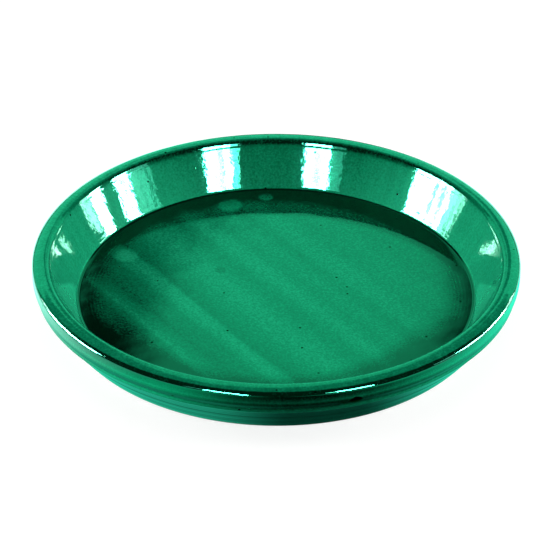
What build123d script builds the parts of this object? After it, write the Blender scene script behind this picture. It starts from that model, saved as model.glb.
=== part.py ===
from build123d import *
import math
import os

# Glazed earthenware plant saucer, turned about Z. The origin is the centre of the foot, on the table.
# The half sections are drawn as radius and height, then turned a full circle.

# Saucer, over the glaze
rim_diameter = 300.0
overall_height = 37.5
floor_height = 8.7

# Rim, and how far the walls lean out between the floor or the foot and the rim
rim_width = 10.0
inner_wall_lean = 16.5
outer_wall_lean = 19.5

# Fired glaze
glaze_thickness = 0.5
glaze_line_height = 1.2

# Foot, left bare
foot_ring_width = 9.0
foot_recess_depth = 2.2
foot_rounding = 0.9

# Rim, rolled outwards into an upright band
band_height = 12.1
rim_rounding = 4.5
lip_rounding = 2.2
heel_rounding = 5.0

# Neck under the band, where the thrower's finger turns the rim out
neck_width = 6.0
neck_depth = 0.5

# Throwing ring in the outer wall, placed as a share of the way from the foot to the band
ring_place_share = 0.57
ring_width = 3.6
ring_depth = 0.3

# Rounds are turned in flats of about this length
flat_length = 2.4

# The clay stands back from the glazed surface by the glaze
clay_rim_radius = rim_diameter / 2 - glaze_thickness
clay_height = overall_height - glaze_thickness
clay_floor_height = floor_height - glaze_thickness
lip_radius = rim_diameter / 2 - rim_width
floor_radius = lip_radius - inner_wall_lean
foot_radius = rim_diameter / 2 - outer_wall_lean
foot_ring_bore_radius = foot_radius - foot_ring_width

# Corners of the clay's half section
recess_middle = Vector(0, foot_recess_depth)
recess_corner = Vector(foot_ring_bore_radius, foot_recess_depth)
bore_corner = Vector(foot_ring_bore_radius, 0)
foot_corner = Vector(foot_radius, 0)
band_corner = Vector(clay_rim_radius, clay_height - band_height)
rim_corner = Vector(clay_rim_radius, clay_height)
lip_corner = Vector(lip_radius, clay_height)
floor_corner = Vector(floor_radius, clay_floor_height)
floor_middle = Vector(0, clay_floor_height)

# The outer wall, from the foot up to the band
wall = band_corner - foot_corner
up_the_wall = wall.normalized()
glaze_line = foot_corner + wall * glaze_line_height / wall.Y


def rounded(before, corner, after, radius):
    """Points along the arc that rounds a corner, which takes no more than half of either side."""
    side_in = before - corner
    side_out = after - corner
    half_turn = math.radians(180 - side_in.get_angle(side_out)) / 2
    reach = min(radius * math.tan(half_turn), side_in.length / 2, side_out.length / 2)
    radius = reach / math.tan(half_turn)
    start = corner + side_in.normalized() * reach
    end = corner + side_out.normalized() * reach
    towards_centre = (side_in.normalized() + side_out.normalized()).normalized()
    centre = corner + towards_centre * radius / math.cos(half_turn)
    spoke = start - centre
    turn = spoke.get_signed_angle(end - centre, Vector(0, 0, 1))
    flats = max(1, round(radius * 2 * half_turn / flat_length))
    return [centre + spoke.rotate(Axis.Z, turn * i / flats) for i in range(flats + 1)]


def groove(start, end, depth):
    """Corners of a shallow groove from start to end, sunk to the left of the way between them."""
    inward = (end - start).normalized().rotate(Axis.Z, 90)
    return [start, (start + end) / 2 + inward * depth, end]


def standing_off(points, distance):
    """The line through the points moved to its right by a distance, with its corners kept sharp."""
    normals = [(b - a).normalized().rotate(Axis.Z, -90) for a, b in zip(points, points[1:])]
    before = normals[:1] + normals
    after = normals + normals[-1:]
    return [p + (n + m) * distance / (1 + n.dot(m)) for p, n, m in zip(points, before, after)]


def bare_foot():
    """The clay that stays bare: recess, foot ring and the wall up to the glaze line."""
    inner_edge = rounded(recess_corner, bore_corner, foot_corner, foot_rounding)
    outer_edge = rounded(bore_corner, foot_corner, glaze_line, foot_rounding)
    return [recess_middle, recess_corner] + inner_edge + outer_edge


def glazed_wall():
    """The clay under the glaze: outer wall, neck, rim, inner wall and floor, from the glaze line on."""
    ring_middle = foot_corner + wall * ring_place_share
    half_ring = up_the_wall * ring_width / 2
    ring = groove(ring_middle - half_ring, ring_middle + half_ring, ring_depth)
    neck_start = band_corner - up_the_wall * neck_width / 2
    neck_end = band_corner + Vector(0, neck_width / 2)
    neck = groove(neck_start, neck_end, neck_depth)
    rim = rounded(neck_end, rim_corner, lip_corner, rim_rounding)
    lip = rounded(rim_corner, lip_corner, floor_corner, lip_rounding)
    heel = rounded(lip_corner, floor_corner, floor_middle, heel_rounding)
    return [glaze_line] + ring + neck + rim + lip + heel + [floor_middle]


def turned(points):
    """Solid turned from the closed half section through the points."""
    return revolve(Plane.XZ * make_face(Polyline(points, close=True)), axis=Axis.Z)


clay_skin = glazed_wall()
glaze_skin = standing_off(clay_skin, glaze_thickness)
pieces = {
    "clay_body": turned(bare_foot() + clay_skin),
    "glaze_coat": turned(clay_skin + glaze_skin[::-1]),
}

os.makedirs("parts", exist_ok=True)
for name, piece in pieces.items():
    export_step(piece, f"parts/{name}.step")
    print(name, "volume", round(piece.volume), "mm3")
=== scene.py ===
import math

import bpy
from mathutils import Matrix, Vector


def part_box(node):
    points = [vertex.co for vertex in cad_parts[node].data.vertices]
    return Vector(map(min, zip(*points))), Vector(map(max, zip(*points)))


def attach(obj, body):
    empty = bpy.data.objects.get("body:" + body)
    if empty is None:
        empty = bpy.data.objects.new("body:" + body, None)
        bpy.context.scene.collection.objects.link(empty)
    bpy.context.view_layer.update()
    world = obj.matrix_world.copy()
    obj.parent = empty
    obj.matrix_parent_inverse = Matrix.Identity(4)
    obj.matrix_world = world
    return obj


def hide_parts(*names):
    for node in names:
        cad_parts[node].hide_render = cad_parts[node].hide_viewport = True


# A thrown and glazed plant saucer on a white table. Lengths are in metres, in the frame of the solids.
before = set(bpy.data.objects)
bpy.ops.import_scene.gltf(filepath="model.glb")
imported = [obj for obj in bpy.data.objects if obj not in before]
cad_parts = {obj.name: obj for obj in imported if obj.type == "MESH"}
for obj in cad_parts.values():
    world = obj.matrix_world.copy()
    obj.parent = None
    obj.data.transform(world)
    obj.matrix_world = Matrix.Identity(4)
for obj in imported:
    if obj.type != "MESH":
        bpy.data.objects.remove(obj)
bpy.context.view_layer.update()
mm = 0.001

# Sizes read from the solids. The rim stands back from them by a hair, so that what stands out stays inside.
rim_clearance = 0.05 * mm
glaze_low, glaze_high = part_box("glaze_coat")
_, clay_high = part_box("clay_body")
rim_radius = min(glaze_high.x, -glaze_low.x) - rim_clearance
rim_height = glaze_high.z
glaze_thickness = glaze_high.z - clay_high.z
glaze_line_height = glaze_low.z

# The saucer's half section over the glaze, as the solids have it
foot_radius = 130.5 * mm
foot_ring_width = 9.0 * mm
foot_recess_depth = 2.2 * mm
floor_height = 8.7 * mm
floor_radius = 123.3 * mm
wall_top_radius = 148.2 * mm
wall_top_height = 22.4 * mm
neck_radius = 148.6 * mm
neck_height = 25.2 * mm
band_foot_height = 27.8 * mm
lip_radius = 139.7 * mm

# The rim's top is domed outwards, down to a shoulder above the upright band
shoulder_height = 34.9 * mm
dome_edge_radius = 146.9 * mm

# Roundings of its corners, and the flat stretch of floor that is drawn finely with the heel
foot_rounding = 0.9 * mm
neck_rounding = 2.0 * mm
band_rounding = 2.4 * mm
shoulder_rounding = 2.3 * mm
dome_rounding = 8.0 * mm
lip_rounding = 3.6 * mm
heel_rounding = 2.4 * mm
heel_reach = 4 * heel_rounding

# How finely the section is drawn and turned. The side on the clay takes every second point.
wall_step = 0.8 * mm
floor_step = 3.2 * mm
hidden_point_step = 2
glaze_segments = 384
bisque_segments = 256
seam_gap = 0.002 * mm

# What counts as the rim's top and as the outside, by the slope of the surface, and as the floor, by height
top_slope = 2
outside_slope = 0.5
floor_margin = 0.5 * mm

# What the section's points carry to the surface: how deep the glaze stands, with painted shade and light
# in it, and 1 on the open side of the glaze, on the floor and on the outside
carried_names = ("pool", "skin", "floor", "outside")

# Slow ripples in the fired glaze, which sink into it
ripple_depth = 0.12 * mm
ripple_size = 18.0 * mm

# Detail of soft and of rich noise, and how hard a speck's edge is
soft_detail = 1.0
rich_detail = 3.0
speck_hardness = 2.0

# A blot of black glaze on the band's foot, and the tail that runs out of it. The blot is a low dome, whose
# slope lies between two shares of its size. Each form of black has its angle, height and half sizes.
blot_angle = math.radians(288)
blot_height = 27.5 * mm
blot_rise = 0.3 * mm
blot_size = (5.6 * mm, 5.6 * mm, 3.0 * mm)
blot_slope = (1.0, 0.6)
tail_angle = math.radians(285.3)
tail_height = 26.7 * mm
black_radius = 149.8 * mm
black_edge = (1.1, 0.85)
black_forms = [
    (blot_angle, blot_height, (4.2 * mm, 4.2 * mm, 2.4 * mm)),
    (tail_angle, tail_height, (4.5 * mm, 4.5 * mm, 0.6 * mm)),
]

# Marks of the thrower's hand, each as its place, width and how far it stands out.
# Those of the outer and the inner wall are placed by height, those of the rim's top by radius.
outer_marks = [
    (4.4 * mm, 4.0 * mm, 0.12 * mm),
    (8.6 * mm, 2.4 * mm, -0.1 * mm),
    (14.3 * mm, 2.8 * mm, -0.28 * mm),
    (17.2 * mm, 1.6 * mm, -0.08 * mm),
    (22.8 * mm, 3.8 * mm, 0.22 * mm),
    (30.7 * mm, 1.8 * mm, 0.05 * mm),
]
inner_marks = [
    (34.4 * mm, 1.6 * mm, -0.1 * mm),
    (12.4 * mm, 1.6 * mm, -0.04 * mm),
]
upper_marks = [
    (148.1 * mm, 1.2 * mm, -0.03 * mm),
    (141.4 * mm, 1.2 * mm, -0.025 * mm),
]

# How deep the glaze stands, from below 0 where it is pale to 1 where it is dark, at places as above. The
# rings on the outer wall are glaze pooled in and thin over the thrower's marks. The dark near the foot, at
# the shoulder and on the band below it, inside the lip and at the heel is painted shade and painted dark
# reflection, and the paler rim top is painted light.
outer_depths = [
    (0.0 * mm, 0.1), (2.0 * mm, 0.2), (5.0 * mm, 0.7), (8.0 * mm, 0.85), (14.0 * mm, 0.8),
    (18.0 * mm, 0.95), (19.9 * mm, 0.8), (20.8 * mm, 0.2), (21.9 * mm, -0.6), (23.8 * mm, -0.6),
    (24.8 * mm, 0.4), (25.6 * mm, 0.9), (27.0 * mm, 0.75), (28.4 * mm, 0.9), (29.2 * mm, 0.3),
    (30.1 * mm, -0.45), (30.9 * mm, 0.2), (32.0 * mm, 0.7), (33.2 * mm, 1.0), (36.3 * mm, 1.1),
    (37.0 * mm, 0.9),
]
upper_depths = [
    (119.0 * mm, 0.0), (122.5 * mm, 1.0), (130.0 * mm, 1.0), (139.6 * mm, 0.7), (140.4 * mm, 0.2),
    (141.2 * mm, -0.3), (147.0 * mm, -0.3), (147.8 * mm, 0.6), (148.4 * mm, 1.0),
]
inner_depths = [
    (8.8 * mm, 0.8), (9.1 * mm, 0.2), (9.5 * mm, -0.1), (13.0 * mm, -0.1), (29.0 * mm, -0.1),
    (33.4 * mm, 0.05), (34.2 * mm, 0.5), (34.9 * mm, 1.0), (36.6 * mm, 1.0), (37.1 * mm, 0.5),
    (37.5 * mm, 0.1),
]


def rounded(corners):
    """The line through the corners, each a point and its rounding's radius, with arcs as short steps."""
    line = [corners[0][0]]
    for (before, _), (corner, radius), (after, _) in zip(corners, corners[1:], corners[2:]):
        side_in = (before - corner).normalized()
        side_out = (after - corner).normalized()
        half_turn = (math.pi - side_in.angle(side_out)) / 2
        reach = radius * math.tan(half_turn)
        centre = corner + (side_in + side_out).normalized() * radius / math.cos(half_turn)
        spoke = corner + side_in * reach - centre
        first = math.atan2(spoke.y, spoke.x)
        turn = math.copysign(2 * half_turn, side_out.cross(side_in))
        steps = max(2, math.ceil(abs(turn) * radius / wall_step))
        for step in range(steps + 1):
            angle = first + turn * step / steps
            line.append(centre + radius * Vector((math.cos(angle), math.sin(angle))))
    return line + [corners[-1][0]]


def stepped(line, step):
    """The line with points added, so that none are further apart than a step."""
    points = [line[0]]
    for start, end in zip(line, line[1:]):
        parts = max(1, math.ceil((end - start).length / step))
        points += [start.lerp(end, part / parts) for part in range(1, parts + 1)]
    return points


def outward(points):
    """The direction out of the saucer at each point: to the right of the way along the line."""
    normals = []
    for before, after in zip(points[:1] + points, points[1:] + points[-1:]):
        along = (after - before).normalized()
        normals.append(Vector((along.y, -along.x)))
    return normals


def between(pairs, place):
    """The value at a place, on straight lines between pairs of place and value."""
    for (first, low), (second, high) in zip(pairs, pairs[1:]):
        if place <= second:
            share = max(0.0, (place - first) / (second - first))
            return low + (high - low) * share
    return pairs[-1][1]


def hand_of_the_thrower(point, normal):
    """How far the thrower's marks stand out at a point, and how deep the glaze stands there, with painted
    shade and light.
    """
    if abs(normal.y) > abs(normal.x) * top_slope:
        marks, depths, place = upper_marks, upper_depths, point.x
    elif normal.x > 0:
        marks, depths, place = outer_marks, outer_depths, point.y
    else:
        marks, depths, place = inner_marks, inner_depths, point.y
    height = 0.0
    for centre, width, mark_height in marks:
        share = abs(place - centre) / (width / 2)
        if share < 1:
            height += mark_height * (1 + math.cos(math.pi * share)) / 2
    return height, between(depths, place)


def section_mesh(name, points, carried):
    """A mesh with the section's points in order, and the values that they carry to the turned surface."""
    mesh = bpy.data.meshes.new(name)
    edges = [(i, i + 1) for i in range(len(points) - 1)]
    mesh.from_pydata([(p.x, 0, p.y) for p in points], edges, [])
    for key, values in carried.items():
        mesh.attributes.new(key, "FLOAT", "POINT").data.foreach_set("value", values)
    section = bpy.data.objects.new(name, mesh)
    bpy.context.scene.collection.objects.link(section)
    return section


# The line over the glaze, from the foot up the outer wall, over the rim and down to the middle of the floor
foot_corner = Vector((foot_radius, 0))
wall_top = Vector((wall_top_radius, wall_top_height))
glaze_start = foot_corner.lerp(wall_top, glaze_line_height / wall_top_height)
glaze_line = rounded([
    (glaze_start, 0),
    (wall_top, neck_rounding),
    (Vector((neck_radius, neck_height)), neck_rounding),
    (Vector((rim_radius, band_foot_height)), band_rounding),
    (Vector((rim_radius, shoulder_height)), shoulder_rounding),
    (Vector((dome_edge_radius, rim_height)), dome_rounding),
    (Vector((lip_radius, rim_height)), lip_rounding),
    (Vector((floor_radius, floor_height)), heel_rounding),
    (Vector((floor_radius - heel_reach, floor_height)), 0),
])
over_glaze = stepped(glaze_line, wall_step)
over_glaze += stepped([over_glaze[-1], Vector((0, floor_height))], floor_step)[1:]
ways_out = outward(over_glaze)
under_glaze = [p - n * glaze_thickness for p, n in zip(over_glaze, ways_out)]
under_glaze[-1].x = 0
marks = [hand_of_the_thrower(p, n) for p, n in zip(over_glaze, ways_out)]
glaze_surface = [p + n * height for p, n, (height, _) in zip(over_glaze, ways_out, marks)]
hidden_side = under_glaze[::-1][::hidden_point_step]
if hidden_side[-1] != under_glaze[0]:
    hidden_side.append(under_glaze[0])


def glaze_section():
    """The section of the glaze skin: out along the clay, round the glaze line and back over the surface."""
    hidden = [0.0] * len(hidden_side)
    on_floor = [p.y < floor_height + floor_margin and p.x < floor_radius for p in glaze_surface]
    return section_mesh("glaze_section", hidden_side + glaze_surface, {
        "pool": hidden + [pool for _, pool in marks],
        "skin": hidden + [1.0] * len(glaze_surface),
        "floor": hidden + [float(on) for on in on_floor],
        "outside": hidden + [float(n.x > abs(n.y) * outside_slope) for n in ways_out],
    })


def bisque_section():
    """The section of the fired clay: recess, foot ring, and the line that the glaze lies on."""
    bore_radius = foot_radius - foot_ring_width
    foot = rounded([
        (Vector((0, foot_recess_depth)), 0),
        (Vector((bore_radius, foot_recess_depth)), foot_rounding),
        (Vector((bore_radius, 0)), foot_rounding),
        (foot_corner, foot_rounding),
        (under_glaze[0], 0),
    ])
    points = stepped(foot, floor_step)[:-1] + hidden_side[::-1]
    bare = [0.0] * len(points)
    return section_mesh("bisque_section", points, {key: bare for key in carried_names})


def add_node(tree, kind, inputs=None, **settings):
    """Adds a node, makes its settings, and links or sets each input by its name or number."""
    node = tree.nodes.new(kind)
    for name, value in settings.items():
        setattr(node, name, value)
    for name, value in (inputs or {}).items():
        if isinstance(value, bpy.types.NodeSocket):
            tree.links.new(value, node.inputs[name])
        else:
            node.inputs[name].default_value = value
    return node


def calculate(tree, operation, *values):
    """The result of a Math node on values or sockets."""
    return add_node(tree, "ShaderNodeMath", dict(enumerate(values)), operation=operation).outputs[0]


def measure(tree, operation, *vectors):
    """The number that a Vector Math node finds: a LENGTH, a DISTANCE or a DOT_PRODUCT."""
    node = add_node(tree, "ShaderNodeVectorMath", dict(enumerate(vectors)), operation=operation)
    return node.outputs["Value"]


def move(tree, operation, *vectors):
    """The vector that a Vector Math node makes."""
    return add_node(tree, "ShaderNodeVectorMath", dict(enumerate(vectors)), operation=operation).outputs[0]


def count_with(tree, operation, *values):
    """The result of an Integer Math node."""
    node = add_node(tree, "FunctionNodeIntegerMath", dict(enumerate(values)), operation=operation)
    return node.outputs[0]


def noise(tree, place, scale, detail):
    """Noise from 0 to 1 at a place."""
    inputs = {"Vector": place, "Scale": scale, "Detail": detail}
    return add_node(tree, "ShaderNodeTexNoise", inputs).outputs[0]


def graded(tree, value, ends, low=0.0, high=1.0, kind="SMOOTHSTEP"):
    """Goes from low, where the value is at the first of the ends, to high, where it is at the second."""
    return add_node(tree, "ShaderNodeMapRange", {
        "Value": value,
        "From Min": ends[0],
        "From Max": ends[1],
        "To Min": low,
        "To Max": high,
    }, interpolation_type=kind).outputs[0]


def ellipsoid_share(tree, place, middle, sizes):
    """How far a place is from the middle of an ellipsoid, as a share of its half sizes."""
    reach = move(tree, "SUBTRACT", place, middle)
    return measure(tree, "LENGTH", move(tree, "DIVIDE", reach, sizes))


def turning_tree():
    """Geometry Nodes that turn a half section about Z, ripple its glaze and raise a blot on it."""
    tree = bpy.data.node_groups.new("turn_about_z", "GeometryNodeTree")
    for name, kind in (
        ("Section", "NodeSocketGeometry"),
        ("Segments", "NodeSocketInt"),
        ("Ripple Depth", "NodeSocketFloat"),
        ("Ripple Size", "NodeSocketFloat"),
        ("Blot Rise", "NodeSocketFloat"),
        ("Blot Place", "NodeSocketVector"),
        ("Blot Size", "NodeSocketVector"),
        ("Finish", "NodeSocketMaterial"),
    ):
        tree.interface.new_socket(name, in_out="INPUT", socket_type=kind)
    tree.interface.new_socket("Turned", in_out="OUTPUT", socket_type="NodeSocketGeometry")
    given = add_node(tree, "NodeGroupInput").outputs
    section = given["Section"]

    # A grid with a column for each step of the turn and a row for each point of the section
    count = add_node(tree, "GeometryNodeAttributeDomainSize", {"Geometry": section}).outputs["Point Count"]
    columns = count_with(tree, "ADD", given["Segments"], 1)
    grid = add_node(tree, "GeometryNodeMeshGrid", {"Vertices X": columns, "Vertices Y": count})
    surface = grid.outputs["Mesh"]
    index = add_node(tree, "GeometryNodeInputIndex").outputs[0]
    row = count_with(tree, "MODULO", index, count)
    column = count_with(tree, "DIVIDE_FLOOR", index, count)

    # What each point of the section carries goes to its whole row
    for key in carried_names:
        carried = add_node(tree, "GeometryNodeInputNamedAttribute", {"Name": key}).outputs["Attribute"]
        in_row = add_node(tree, "GeometryNodeSampleIndex", {
            "Geometry": section,
            "Value": carried,
            "Index": row,
        }).outputs[0]
        surface = add_node(tree, "GeometryNodeStoreNamedAttribute", {
            "Geometry": surface,
            "Name": key,
            "Value": in_row,
        }).outputs[0]

    # Each row goes round the axis, and the seam and the poles are closed
    place = add_node(tree, "GeometryNodeInputPosition").outputs[0]
    at_rest = add_node(tree, "GeometryNodeSampleIndex", {
        "Geometry": section,
        "Value": place,
        "Index": row,
    }, data_type="FLOAT_VECTOR").outputs[0]
    turn = calculate(tree, "MULTIPLY", calculate(tree, "DIVIDE", column, given["Segments"]), math.tau)
    turned = add_node(tree, "ShaderNodeVectorRotate", {
        "Vector": at_rest,
        "Angle": turn,
    }, rotation_type="Z_AXIS").outputs[0]
    surface = add_node(tree, "GeometryNodeSetPosition", {"Geometry": surface, "Position": turned}).outputs[0]
    surface = add_node(tree, "GeometryNodeMergeByDistance", {
        "Geometry": surface,
        "Distance": seam_gap,
    }).outputs[0]

    # The glaze sinks in slow ripples, and rises in the blot
    scale = calculate(tree, "DIVIDE", 1.0, given["Ripple Size"])
    sinking = calculate(tree, "SUBTRACT", noise(tree, place, scale, soft_detail), 1.0)
    ripple = calculate(tree, "MULTIPLY", sinking, given["Ripple Depth"])
    blot = graded(tree, ellipsoid_share(tree, place, given["Blot Place"], given["Blot Size"]), blot_slope)
    rise = calculate(tree, "MULTIPLY_ADD", blot, given["Blot Rise"], ripple)
    skin = add_node(tree, "GeometryNodeInputNamedAttribute", {"Name": "skin"}).outputs["Attribute"]
    rise = calculate(tree, "MULTIPLY", rise, skin)
    normal = add_node(tree, "GeometryNodeInputNormal").outputs[0]
    lift = add_node(tree, "ShaderNodeVectorMath", {0: normal, "Scale": rise}, operation="SCALE").outputs[0]
    surface = add_node(tree, "GeometryNodeSetPosition", {"Geometry": surface, "Offset": lift}).outputs[0]

    surface = add_node(tree, "GeometryNodeSetShadeSmooth", {"Geometry": surface}).outputs[0]
    surface = add_node(tree, "GeometryNodeRealizeInstances", {"Geometry": surface}).outputs[0]
    surface = add_node(tree, "GeometryNodeSetMaterial", {
        "Geometry": surface,
        "Material": given["Finish"],
    }).outputs[0]
    add_node(tree, "NodeGroupOutput", {"Turned": surface})
    return tree


def turned_piece(name, section, tree, finish, sizes):
    """The section turned about Z by the tree, as a plain mesh."""
    modifier = section.modifiers.new("turn", "NODES")
    modifier.node_group = tree
    identifiers = {item.name: item.identifier for item in tree.interface.items_tree if item.in_out == "INPUT"}
    for key, value in sizes.items():
        modifier[identifiers[key]] = value
    modifier[identifiers["Finish"]] = finish
    depsgraph = bpy.context.evaluated_depsgraph_get()
    mesh = bpy.data.meshes.new_from_object(section.evaluated_get(depsgraph))
    mesh.name = name
    section.modifiers.remove(modifier)
    bpy.data.objects.remove(section)
    piece = bpy.data.objects.new(name, mesh)
    bpy.context.scene.collection.objects.link(piece)
    return piece


def effect_group(name, inputs):
    """An empty shader node group with a Vector, named number inputs and a Mask that it puts out."""
    group = bpy.data.node_groups.new(name, "ShaderNodeTree")
    group.interface.new_socket("Vector", in_out="INPUT", socket_type="NodeSocketVector")
    for key in inputs:
        group.interface.new_socket(key, in_out="INPUT", socket_type="NodeSocketFloat")
    group.interface.new_socket("Mask", in_out="OUTPUT", socket_type="NodeSocketFloat")
    return group, add_node(group, "NodeGroupInput").outputs


def clamped(tree, value):
    """The value, kept from 0 to 1."""
    return add_node(tree, "ShaderNodeClamp", {"Value": value}).outputs[0]


def centred(tree, mask):
    """A mask from 0 to 1, moved so that it swings about 0."""
    return calculate(tree, "SUBTRACT", mask, 0.5)


def cloud_group():
    """Soft clouds from 0 to 1, by size and contrast."""
    group, given = effect_group("kiln_clouds", ("Size", "Contrast"))
    scale = calculate(group, "DIVIDE", 1.0, given["Size"])
    swing = centred(group, noise(group, given["Vector"], scale, rich_detail))
    swing = calculate(group, "MULTIPLY", swing, given["Contrast"])
    add_node(group, "NodeGroupOutput", {"Mask": clamped(group, calculate(group, "ADD", swing, 0.5))})
    return group


def speck_group():
    """Sparse round specks with a soft edge: iron in the glaze, or grog in the clay."""
    group, given = effect_group("kiln_specks", ("Spacing", "Radius", "Share"))
    scale = calculate(group, "DIVIDE", 1.0, given["Spacing"])
    cells = add_node(group, "ShaderNodeTexVoronoi", {"Vector": given["Vector"], "Scale": scale}).outputs
    edge = calculate(group, "DIVIDE", given["Radius"], given["Spacing"])
    disc = graded(group, cells["Distance"], (edge, 0.0), high=speck_hardness, kind="LINEAR")
    tone = add_node(group, "ShaderNodeSeparateColor", {"Color": cells["Color"]}).outputs[0]
    chosen = calculate(group, "LESS_THAN", tone, given["Share"])
    add_node(group, "NodeGroupOutput", {"Mask": clamped(group, calculate(group, "MULTIPLY", disc, chosen))})
    return group


def place_group(tree, group, vector, values):
    """A node group's mask in a material, with the material's own values."""
    node = add_node(tree, "ShaderNodeGroup", node_tree=group)
    tree.links.new(vector, node.inputs["Vector"])
    for key, value in values.items():
        node.inputs[key].default_value = value
    return node.outputs[0]


def blend(tree, share, first, second):
    """The second colour over the first, by a share."""
    mix = add_node(tree, "ShaderNodeMix", data_type="RGBA")
    # A Mix node lists its sockets for colours after those for numbers and vectors
    for socket, value in ((mix.inputs[0], share), (mix.inputs[6], first), (mix.inputs[7], second)):
        if isinstance(value, bpy.types.NodeSocket):
            tree.links.new(value, socket)
        else:
            socket.default_value = value
    return mix.outputs[2]


def fired_material(name, roughness):
    """A material with its Principled BSDF at a plain roughness, and its object coordinates."""
    material = bpy.data.materials.new(name)
    material.use_nodes = True
    tree = material.node_tree
    surface = tree.nodes["Principled BSDF"]
    surface.inputs["Roughness"].default_value = roughness
    coordinates = add_node(tree, "ShaderNodeTexCoord").outputs["Object"]
    return material, tree, surface, coordinates


def attribute(tree, name):
    """A number that the mesh carries."""
    return add_node(tree, "ShaderNodeAttribute", attribute_name=name).outputs["Fac"]


# Colours of the glaze from pale to dark, and of the iron in it. The pale green is thin glaze and painted
# light, and the dark green is deep glaze and painted shade. The green glass tints what it mirrors.
thin_and_lit_green = (0.012, 0.35, 0.175, 1)
even_green = (0.0015, 0.145, 0.065, 1)
deep_and_shaded_green = (0.0002, 0.008, 0.0036, 1)
iron_black = (0.001, 0.0015, 0.0015, 1)
mirror_green = (0.08, 1.0, 0.62, 1)
glaze_roughness = 0.05
glaze_ior = 1.65

# Darkness round the edge of the floor, each by the distances from a middle between which it fades in:
# the pool of glaze, a painted reflection of the far wall, and painted shade along the near lip
pool_middle = (-1 * mm, 0, 0)
pool_edge = (102 * mm, 122 * mm)
near_lip_shade_edge = (88 * mm, 104 * mm)
near_lip_shade_side = (-15 * mm, -65 * mm)
far_wall_reflection_middle = (-5 * mm, -46 * mm, 0)
far_wall_reflection_edge = (135 * mm, 141 * mm)
far_wall_reflection_shade = 0.65
rib_spacing = 2.1 * mm

# Where the depths show in full: low on the near side of the outside, where they are painted shade and painted
# dark reflection, and inside the lip of the far side, where they are painted dark reflection.
# A share is left everywhere else. Away from the far side, the wall below the lip is painted lighter, as
# painted light.
lowness = -1.4
near_low_side = (-117 * mm, -154 * mm)
near_low_least = 0.15
far_side = (40 * mm, 105 * mm)
far_least = 0.05
painted_wall_light_side = (136 * mm, 98 * mm)
lip_foot = (36.4 * mm, 35.2 * mm)

# Clouds in the glaze and in the clay, by their size and contrast, and specks in them
bristle_clouds = {"Size": 22 * mm, "Contrast": 1.2}
drip_clouds = {"Size": 40 * mm, "Contrast": 1.8}
wide_clouds = {"Size": 60 * mm, "Contrast": 1.6}
grain_clouds = {"Size": 1.3 * mm, "Contrast": 2.4}
black_edge_clouds = {"Size": 2.5 * mm, "Contrast": 0.5}
clay_clouds = {"Size": 30 * mm, "Contrast": 2.0}
iron_specks = {"Spacing": 11 * mm, "Radius": 0.95 * mm, "Share": 0.6}
grog_specks = {"Spacing": 2.5 * mm, "Radius": 0.5 * mm, "Share": 0.4}

# How much each effect darkens the glaze, or makes it paler where below 0, and what pools and walls do to the
# grain
pool_share = 0.95
painted_wall_light_share = -0.7
rib_share = -0.16
drip_share = 0.3
wide_share = 0.15
grain_share = 0.65
grain_in_pool = -0.5
grain_on_wall = 0.4

# Fine waves in the glaze, which the floor hardly has, and how deep its specks are sunk in them
wave_scale = 320.0
wave_height = 0.04 * mm
floor_calm = 0.86
speck_depth = 0.5

# Streaks lie aslant across the floor: partly brush strokes in the glaze, and partly painted light mirrored by
# the wall onto the floor and painted shadow of the near wall. Each has its distance in millimetres from the
# middle and its shade, from -1 pale to 1 dark.
stroke_slant = math.radians(36)
stroke_stretch = 5.0
stroke_wander = 8 * mm
stroke_half_span = 125 * mm
first_shade = 0.5
brush_and_light_streaks = [
    (-112, 0.1), (-104, 0.25), (-98, 0.35), (-94, 0.45), (-90, 0.25), (-86, -0.12), (-80, 0.15), (-74, 0.4),
    (-68, 0.25), (-63, 0.2), (-58, -0.1), (-54, -0.25), (-50, -0.15), (-46, 0.3), (-42, 0.2), (-34, 0.0),
    (-28, -0.15), (-20, -0.2), (-14, -0.1), (-4, 0.1), (8, -0.2), (20, 0.05), (28, -0.05), (37, 0.1),
    (44, -0.1), (50, -0.12), (62, 0.05), (74, 0.0), (90, 0.1),
]

# Single spots on the floor, each as its place and width in millimetres and its shade. The four pale ones are
# painted reflections of the lamps, and the fifth is a dark spot.
floor_glints_and_spot = [
    (-30, 103, 20, -0.8), (-7, 114, 13, -0.8), (-95, 42, 20, -0.45), (-106, 62, 12, -0.5), (-35, 25, 9, 0.4),
]


def grey(shade):
    """A shade from -1 to 1 as a grey from 0 to 1."""
    return ((shade + 1) / 2,) * 3 + (1,)


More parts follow.
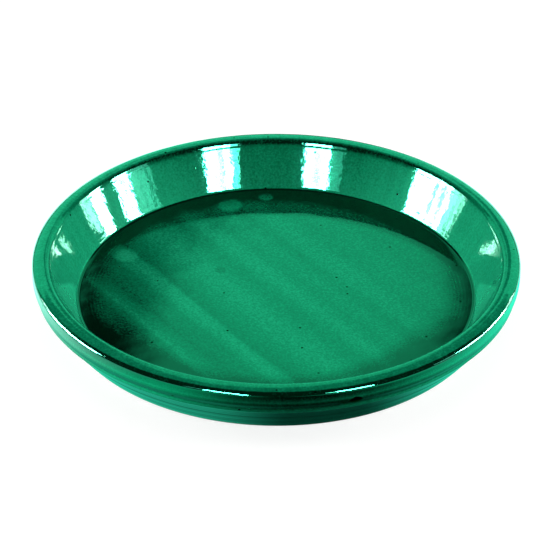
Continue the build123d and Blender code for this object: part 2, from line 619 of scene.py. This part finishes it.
def floor_streaks_and_spots(tree, clouds, flat):
    """The shade at a place on the floor of the streaks, partly brush strokes and partly painted light and
    shadow, and of the single spots.
    """
    across = measure(tree, "DOT_PRODUCT", flat, (math.cos(stroke_slant), math.sin(stroke_slant), 0))
    along = add_node(tree, "ShaderNodeMapping", {
        "Vector": flat,
        "Rotation": (0, 0, stroke_slant - math.pi / 2),
        "Scale": (stroke_stretch, 1.0, 1.0),
    }, vector_type="TEXTURE").outputs[0]
    bristles = centred(tree, place_group(tree, clouds, along, bristle_clouds))
    across = calculate(tree, "MULTIPLY_ADD", bristles, stroke_wander, across)
    stroke_place = graded(tree, across, (-stroke_half_span, stroke_half_span), kind="LINEAR")
    strokes = add_node(tree, "ShaderNodeValToRGB", {"Fac": stroke_place})
    ramp = strokes.color_ramp
    ramp.interpolation = "EASE"
    ramp.elements.remove(ramp.elements[1])
    ramp.elements[0].position = 0.0
    ramp.elements[0].color = grey(first_shade)
    for distance, shade in brush_and_light_streaks:
        position = distance * mm / stroke_half_span / 2 + 0.5
        ramp.elements.new(position).color = grey(shade)
    shades = graded(tree, strokes.outputs[0], (0.0, 1.0), low=-1.0, kind="LINEAR")
    # Pale spots are painted reflections of the lamps
    for x, y, width, shade in floor_glints_and_spot:
        reach = measure(tree, "DISTANCE", flat, (x * mm, y * mm, 0))
        spot = graded(tree, reach, (width / 2 * mm, width / 4 * mm), high=shade)
        shades = calculate(tree, "ADD", shades, spot)
    return shades


def black_marks(tree, clouds, place, outside):
    """The blot and its tail on the outside, with an uneven edge."""
    unevenness = centred(tree, place_group(tree, clouds, place, black_edge_clouds))
    black = 0.0
    for angle, height, sizes in black_forms:
        middle = Vector((black_radius * math.cos(angle), black_radius * math.sin(angle), height))
        spread = calculate(tree, "ADD", ellipsoid_share(tree, place, middle, sizes), unevenness)
        black = calculate(tree, "MAXIMUM", black, graded(tree, spread, black_edge))
    return calculate(tree, "MULTIPLY", black, outside)


def green_glaze(clouds, specks):
    """Glossy emerald glaze, dark where it pools, with brush strokes, drips, clouds, grain and iron, and with
    painted shade, painted reflections and painted light.
    """
    material, tree, surface, place = fired_material("green_glaze", glaze_roughness)
    _, y, z = add_node(tree, "ShaderNodeSeparateXYZ", {0: place}).outputs
    flat = move(tree, "MULTIPLY", place, (1, 1, 0))
    on_floor = attribute(tree, "floor")
    outside = attribute(tree, "outside")
    on_wall = calculate(tree, "SUBTRACT", 1.0, on_floor)
    inside = calculate(tree, "SUBTRACT", on_wall, outside)

    # The glaze pools round the edge of the floor, with rib lines in it. Wider at the far side is a painted
    # reflection of the far wall, and at the near side painted shade along the near lip.
    level = measure(tree, "DISTANCE", flat, pool_middle)
    pool = graded(tree, level, pool_edge)
    # Painted reflection of the far wall: a dark crescent on the floor's far side
    far_level = measure(tree, "DISTANCE", flat, far_wall_reflection_middle)
    far_wall_reflection = graded(tree, far_level, far_wall_reflection_edge, high=far_wall_reflection_shade)
    # Painted shade along the near lip
    near_side = graded(tree, y, near_lip_shade_side)
    near_lip_shade = calculate(tree, "MULTIPLY", graded(tree, level, near_lip_shade_edge), near_side)
    floor_edge_shade = calculate(tree, "ADD", far_wall_reflection, near_lip_shade)
    rib_wave = calculate(tree, "SINE", calculate(tree, "MULTIPLY", level, math.tau / rib_spacing))
    ribs = calculate(tree, "MULTIPLY", rib_wave, pool)

    # Drips that run down the walls, wide clouds, and a fine grain that is calmer in the pool
    around = add_node(tree, "ShaderNodeVectorMath", {0: flat}, operation="NORMALIZE").outputs[0]
    drips = place_group(tree, clouds, move(tree, "ADD", around, place), drip_clouds)
    wide = place_group(tree, clouds, place, wide_clouds)
    grain = place_group(tree, clouds, place, grain_clouds)
    grain_strength = calculate(tree, "MULTIPLY_ADD", pool, grain_in_pool, 1.0)
    grain_strength = calculate(tree, "MULTIPLY_ADD", on_wall, grain_on_wall, grain_strength)

    # How deep the glaze stands on the walls, shown in full as painted shade low on the near outside and as
    # painted dark reflection inside the far lip, and painted light on the wall below the lip away from the
    # far side
    nearness = calculate(tree, "MULTIPLY_ADD", z, lowness, y)
    near_low = graded(tree, nearness, near_low_side, low=near_low_least)
    far = graded(tree, y, far_side, low=far_least)
    shown = calculate(tree, "MULTIPLY_ADD", inside, far, on_floor)
    shown = calculate(tree, "MULTIPLY_ADD", outside, near_low, shown)
    darkness = calculate(tree, "MULTIPLY", attribute(tree, "pool"), shown)
    # Painted light: the wall below the lip is paler away from the far side
    below_lip = graded(tree, z, lip_foot, kind="LINEAR")
    painted_wall_light = calculate(tree, "MULTIPLY", graded(tree, y, painted_wall_light_side), below_lip)

    for effect, where, share in (
        (pool, on_floor, pool_share),
        (floor_edge_shade, on_floor, 1.0),
        (floor_streaks_and_spots(tree, clouds, flat), on_floor, 1.0),
        (painted_wall_light, inside, painted_wall_light_share),
        (ribs, on_floor, rib_share),
        (centred(tree, drips), on_wall, drip_share),
        (centred(tree, wide), 1.0, wide_share),
        (centred(tree, grain), grain_strength, grain_share),
    ):
        effect = calculate(tree, "MULTIPLY", effect, where)
        darkness = calculate(tree, "MULTIPLY_ADD", effect, share, darkness)
    colour = blend(tree, clamped(tree, darkness), even_green, deep_and_shaded_green)
    colour = blend(tree, clamped(tree, calculate(tree, "MULTIPLY", darkness, -1.0)), colour, thin_and_lit_green)
    iron = place_group(tree, specks, place, iron_specks)
    black = calculate(tree, "MAXIMUM", iron, black_marks(tree, clouds, place, outside))
    tree.links.new(blend(tree, black, colour, iron_black), surface.inputs["Base Color"])
    tree.links.new(black, surface.inputs["Metallic"])

    calm = calculate(tree, "MULTIPLY_ADD", on_floor, -floor_calm, 1.0)
    heights = calculate(tree, "MULTIPLY", noise(tree, place, wave_scale, soft_detail), calm)
    heights = calculate(tree, "MULTIPLY_ADD", iron, -speck_depth, heights)
    bump = add_node(tree, "ShaderNodeBump", {"Height": heights, "Strength": 1.0, "Distance": wave_height})
    tree.links.new(bump.outputs[0], surface.inputs["Normal"])
    surface.inputs["IOR"].default_value = glaze_ior
    surface.inputs["Specular Tint"].default_value = mirror_green
    return material


# Colours and texture of the fired clay
clay_red = (0.33, 0.12, 0.06, 1)
clay_pale = (0.5, 0.24, 0.14, 1)
clay_dark = (0.1, 0.035, 0.02, 1)
clay_roughness = 0.85
tooth_scale = 1500.0
tooth_height = 0.15 * mm
tooth_strength = 0.6


def bare_clay(clouds, specks):
    """Matt fired earthenware: clouds of iron red, with dark grog in them and a fine tooth."""
    material, tree, surface, coordinates = fired_material("bare_clay", clay_roughness)
    wide = place_group(tree, clouds, coordinates, clay_clouds)
    grog = place_group(tree, specks, coordinates, grog_specks)
    colour = blend(tree, grog, blend(tree, wide, clay_red, clay_pale), clay_dark)
    tree.links.new(colour, surface.inputs["Base Color"])
    bump = add_node(tree, "ShaderNodeBump", {
        "Height": noise(tree, coordinates, tooth_scale, rich_detail),
        "Strength": tooth_strength,
        "Distance": tooth_height,
    })
    tree.links.new(bump.outputs[0], surface.inputs["Normal"])
    return material


clouds = cloud_group()
specks = speck_group()
turning = turning_tree()
bisque = turned_piece("bisque_body", bisque_section(), turning, bare_clay(clouds, specks), {
    "Segments": bisque_segments,
    "Ripple Depth": 0.0,
    "Ripple Size": 1.0,
    "Blot Rise": 0.0,
    "Blot Place": (0, 0, 0),
    "Blot Size": (1, 1, 1),
})
glaze = turned_piece("glaze_skin", glaze_section(), turning, green_glaze(clouds, specks), {
    "Segments": glaze_segments,
    "Ripple Depth": ripple_depth,
    "Ripple Size": ripple_size,
    "Blot Rise": blot_rise,
    "Blot Place": (black_radius * math.cos(blot_angle), black_radius * math.sin(blot_angle), blot_height),
    "Blot Size": blot_size,
})

# Camera of the photograph, from a fit of its rim and floor outlines
camera_pitch = math.radians(32.75)
camera_roll = math.radians(0.195)
camera_distance = 1.8
camera_lens = 189.75
camera_target = Vector((0.2 * mm, 0, 20.0 * mm))


def photo_camera():
    """The camera that the photograph was taken with."""
    data = bpy.data.cameras.new("photo_camera")
    data.lens = camera_lens
    camera = bpy.data.objects.new("photo_camera", data)
    bpy.context.scene.collection.objects.link(camera)
    back = Vector((0, -math.cos(camera_pitch), math.sin(camera_pitch)))
    camera.location = camera_target + back * camera_distance
    camera.rotation_mode = "ZYX"
    camera.rotation_euler = (math.pi / 2 - camera_pitch, 0, camera_roll)
    bpy.context.scene.camera = camera


def empty_material(name):
    """A material without nodes, and its object coordinates."""
    material = bpy.data.materials.new(name)
    material.use_nodes = True
    tree = material.node_tree
    tree.nodes.clear()
    return material, tree, add_node(tree, "ShaderNodeTexCoord").outputs["Object"]


def glow(tree, colour, strength):
    """The shader of a surface that gives light."""
    return add_node(tree, "ShaderNodeEmission", {"Color": colour, "Strength": strength}).outputs[0]


# Light of the lamps, uneven as folded cloth, and the share of it left when two glazed surfaces mirror it
white = (1, 1, 1, 1)
cloth_scale = (38.0, 38.0, 7.0)
cloth_folds = (0.36, 0.5)
cloth_least = 0.12
first_bounce_depth = 1.5
second_bounce_share = 0.5


def lamp_material(name, strength):
    """A lamp's front, which is dimmer where one glazed surface mirrors it to another."""
    material, tree, place = empty_material(name)
    hanging = move(tree, "MULTIPLY", place, cloth_scale)
    folds = noise(tree, hanging, 1.0, soft_detail)
    cloth = graded(tree, folds, cloth_folds, low=cloth_least, kind="LINEAR")
    depth = add_node(tree, "ShaderNodeLightPath").outputs["Ray Depth"]
    first = calculate(tree, "LESS_THAN", depth, first_bounce_depth)
    power = graded(tree, first, (0.0, 1.0), strength * second_bounce_share, strength, kind="LINEAR")
    power = calculate(tree, "MULTIPLY", power, cloth)
    add_node(tree, "ShaderNodeOutputMaterial", {"Surface": glow(tree, white, power)})
    return material


# The reflector, an upright card behind the saucer. Its pale front is an oval that leans aside, much higher
# above its middle than below, and fades out upwards. A dark ring lies round it. Beyond the ring a backdrop
# shows up to a height, and below a lower height it shows all along.
card_half_width = 1.8
card_foot = 0.25
card_top = 4.5
card_distance = 1.5
card_green = (0.08, 1.0, 0.58, 1)
oval_middle = (0.035, card_distance, 1.02)
oval_lean = 0.25
oval_half_width = 0.185
oval_below = -0.2
oval_above = 1.6
oval_edge = (1.2, 0.8)
oval_top = (1.5, 1.0)
oval_strength = 1.5
ring_edge = (1.45, 1.8)
backdrop_top = (0.28, 0.12)
backdrop_foot = (-0.165, -0.195)
backdrop_strength = 2.0


def reflector_material():
    """The reflector behind the saucer: a soft oval front with a dark ring, and a pale backdrop beyond it."""
    material, tree, place = empty_material("reflector")
    from_middle = move(tree, "SUBTRACT", place, oval_middle)
    x, _, z = add_node(tree, "ShaderNodeSeparateXYZ", {0: from_middle}).outputs
    leaning = calculate(tree, "ADD", x, calculate(tree, "MULTIPLY", z, oval_lean))
    wide = calculate(tree, "DIVIDE", leaning, oval_half_width)
    below = calculate(tree, "DIVIDE", z, oval_below)
    high = calculate(tree, "MAXIMUM", below, calculate(tree, "DIVIDE", z, oval_above))
    squares = calculate(tree, "MULTIPLY_ADD", high, high, calculate(tree, "MULTIPLY", wide, wide))
    ring = calculate(tree, "SQRT", squares)
    front = calculate(tree, "MULTIPLY", graded(tree, ring, oval_edge), graded(tree, z, oval_top))
    front = calculate(tree, "MULTIPLY", front, oval_strength)
    backdrop = calculate(tree, "MULTIPLY", graded(tree, ring, ring_edge), graded(tree, z, backdrop_top))
    backdrop = calculate(tree, "MAXIMUM", backdrop, graded(tree, z, backdrop_foot))
    backdrop = calculate(tree, "MULTIPLY", backdrop, backdrop_strength)
    strength = calculate(tree, "MAXIMUM", front, backdrop)
    add_node(tree, "ShaderNodeOutputMaterial", {"Surface": glow(tree, card_green, strength)})
    return material


def mirrored_card(name, corners, material):
    """A flat card that the glaze mirrors, and that neither lights the saucer nor shows to the camera."""
    mesh = bpy.data.meshes.new(name)
    mesh.from_pydata(corners, [], [(0, 1, 2, 3)])
    mesh.materials.append(material)
    card = bpy.data.objects.new(name, mesh)
    bpy.context.scene.collection.objects.link(card)
    card.visible_camera = False
    card.visible_diffuse = False
    card.visible_shadow = False


def lamp_panel(name, first, second, strength):
    """An upright lamp front between two posts, each a place on the table and a low and a high end."""
    (x1, y1, low1, high1), (x2, y2, low2, high2) = first, second
    corners = [(x1, y1, low1), (x2, y2, low2), (x2, y2, high2), (x1, y1, high1)]
    mirrored_card(name, corners, lamp_material(name, strength))


# Posts of the lamps, each as its place on the table and the low and the high end of the cloth on it.
# Lamp edges and the foot of the first lamp are panels of their own.
near_left_outer_post = (-0.6, -0.76, 0.4, 0.6)
near_left_post = (-0.449, -0.768, 0.39, 0.61)
near_left_inner_post = (-0.402, -1.415, 0.6, 0.94)
foot_outer_post = (-0.402, -1.415, 0.3, 0.57)
foot_inner_post = (-0.29, -1.441, 0.3, 0.57)
near_right_inner_post = (0.337, -0.844, 0.4, 0.62)
near_right_post = (0.398, -0.819, 0.4, 0.63)
near_right_outer_post = (0.57, -0.645, 0.38, 0.59)
left_near_post = (-0.906, -0.168, 0.21, 0.5)
left_far_post = (-0.591, 0.17, 0.07, 0.24)
left_edge_post = (-0.62, 0.29, 0.05, 0.22)
right_edge_post = (1.183, -0.4, 0.35, 0.68)
right_near_post = (1.182, -0.119, 0.28, 0.61)
right_middle_post = (0.784, 0.068, 0.13, 0.36)
right_far_outer_post = (1.58, 0.306, 0.24, 0.59)
right_far_inner_post = (0.751, 0.29, 0.08, 0.26)
right_far_edge_post = (0.62, 0.36, 0.06, 0.26)

# Lamp fronts, each as its name, its two posts and its strength
lamp_fronts = [
    ("lamp_near_left", near_left_post, near_left_inner_post, 300),
    ("lamp_near_left_edge", near_left_outer_post, near_left_post, 6),
    ("lamp_near_left_foot", foot_outer_post, foot_inner_post, 300),
    ("lamp_near_right", near_right_post, near_right_outer_post, 300),
    ("lamp_near_right_edge", near_right_inner_post, near_right_post, 40),
    ("lamp_left", left_near_post, left_far_post, 200),
    ("lamp_left_edge", left_far_post, left_edge_post, 20),
    ("lamp_right_near_edge", right_edge_post, right_near_post, 7),
    ("lamp_right_near", right_near_post, right_middle_post, 200),
    ("lamp_right_far", right_far_outer_post, right_far_inner_post, 200),
    ("lamp_right_far_edge", right_far_inner_post, right_far_edge_post, 20),
]
for lamp_name, first_post, second_post, lamp_strength in lamp_fronts:
    lamp_panel(lamp_name, first_post, second_post, lamp_strength)
mirrored_card("reflector", [
    (-card_half_width, card_distance, card_foot),
    (card_half_width, card_distance, card_foot),
    (card_half_width, card_distance, card_top),
    (-card_half_width, card_distance, card_top),
], reflector_material())

# Soft lights, each as its name, azimuth from +X and elevation in degrees, distance, width and power
soft_lights = [
    ("light_above", 90, 78, 1.5, 1.6, 11),
    ("light_left", 179, 24, 1.3, 0.6, 15),
    ("light_right", 3, 24, 1.3, 0.6, 15),
]


def soft_light(name, azimuth, elevation, distance, width, power):
    """A square lamp that lights the saucer softly, and that the glaze doesn't mirror."""
    data = bpy.data.lights.new(name, "AREA")
    data.shape = "SQUARE"
    data.size = width
    data.energy = power
    light = bpy.data.objects.new(name, data)
    bpy.context.scene.collection.objects.link(light)
    a = math.radians(azimuth)
    e = math.radians(elevation)
    way = Vector((math.cos(a) * math.cos(e), math.sin(a) * math.cos(e), math.sin(e)))
    light.location = way * distance
    light.rotation_mode = "QUATERNION"
    light.rotation_quaternion = way.to_track_quat("Z", "Y")
    light.visible_glossy = False
    light.visible_camera = False


for light_values in soft_lights:
    soft_light(*light_values)

# The table. To the glaze it is a glow of its own, a painted reflection: dark along a middle line as painted
# shadow under the saucer, bright to both sides and paler far out.
# Clear of the saucer, the middle is darker still and the sides are brighter.
table_half = 6.0
paper_grey = (0.22, 0.22, 0.22, 1)
camera_glow = 0.85
middle_line = 0.03
under_side = (0.02, 0.08)
under_least = 0.1
under_most = 0.85
under_loss = -0.5
beside_side = (0.06, 0.14)
beside_most = 2.8
clear_reach = (0.145, 0.18)
far_out = (0.15, 0.21)
table_green = (0.05, 1.0, 0.63, 1)
table_pale_green = (0.45, 1.0, 0.85, 1)


def white_table():
    """The pale table. To the camera it is white, and it keeps the saucer's shadow."""
    material, tree, place = empty_material("white_table")
    path = add_node(tree, "ShaderNodeLightPath").outputs
    x = add_node(tree, "ShaderNodeSeparateXYZ", {0: place}).outputs[0]
    aside = calculate(tree, "ABSOLUTE", calculate(tree, "SUBTRACT", x, middle_line))
    clear = graded(tree, measure(tree, "LENGTH", place), clear_reach)
    # Painted shadow of the saucer in the table's glow, as the glaze mirrors it
    under = graded(tree, aside, under_side, under_least, under_most)
    under = calculate(tree, "MULTIPLY", under, calculate(tree, "MULTIPLY_ADD", clear, under_loss, 1.0))
    beside = graded(tree, aside, beside_side, high=beside_most)
    strength = calculate(tree, "MULTIPLY_ADD", beside, clear, under)
    colour = blend(tree, graded(tree, aside, far_out), table_green, table_pale_green)

    paper = add_node(tree, "ShaderNodeBsdfDiffuse", {"Color": paper_grey})
    camera_white = glow(tree, white, calculate(tree, "MULTIPLY", path["Is Camera Ray"], camera_glow))
    seen = add_node(tree, "ShaderNodeAddShader", {0: paper.outputs[0], 1: camera_white}).outputs[0]
    either = add_node(tree, "ShaderNodeMixShader", {
        0: path["Is Glossy Ray"],
        1: seen,
        2: glow(tree, colour, strength),
    })
    add_node(tree, "ShaderNodeOutputMaterial", {"Surface": either.outputs[0]})

    mesh = bpy.data.meshes.new("table")
    mesh.from_pydata([
        (-table_half, -table_half, 0),
        (table_half, -table_half, 0),
        (table_half, table_half, 0),
        (-table_half, table_half, 0),
    ], [], [(0, 1, 2, 3)])
    mesh.materials.append(material)
    table = bpy.data.objects.new("table", mesh)
    bpy.context.scene.collection.objects.link(table)


# The studio, dim and green to the glaze, and white to the camera
studio_strength = 0.12
studio_green = (0.02, 0.55, 0.28, 1)


def studio_world():
    """Dim studio walls, and white behind the saucer for the camera."""
    world = bpy.data.worlds.new("studio")
    world.use_nodes = True
    tree = world.node_tree
    tree.nodes.clear()
    path = add_node(tree, "ShaderNodeLightPath").outputs
    strength = graded(tree, path["Is Camera Ray"], (0.0, 1.0), studio_strength, 1.0, kind="LINEAR")
    colour = blend(tree, path["Is Glossy Ray"], white, studio_green)
    background = add_node(tree, "ShaderNodeBackground", {"Color": colour, "Strength": strength})
    add_node(tree, "ShaderNodeOutputWorld", {"Surface": background.outputs[0]})
    bpy.context.scene.world = world


white_table()
studio_world()
photo_camera()
bpy.context.scene.view_settings.view_transform = "Standard"

for piece, node, slot in ((bisque, "clay_body", "bare_clay"), (glaze, "glaze_coat", "green_glaze")):
    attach(piece, "root")
    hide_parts(node)
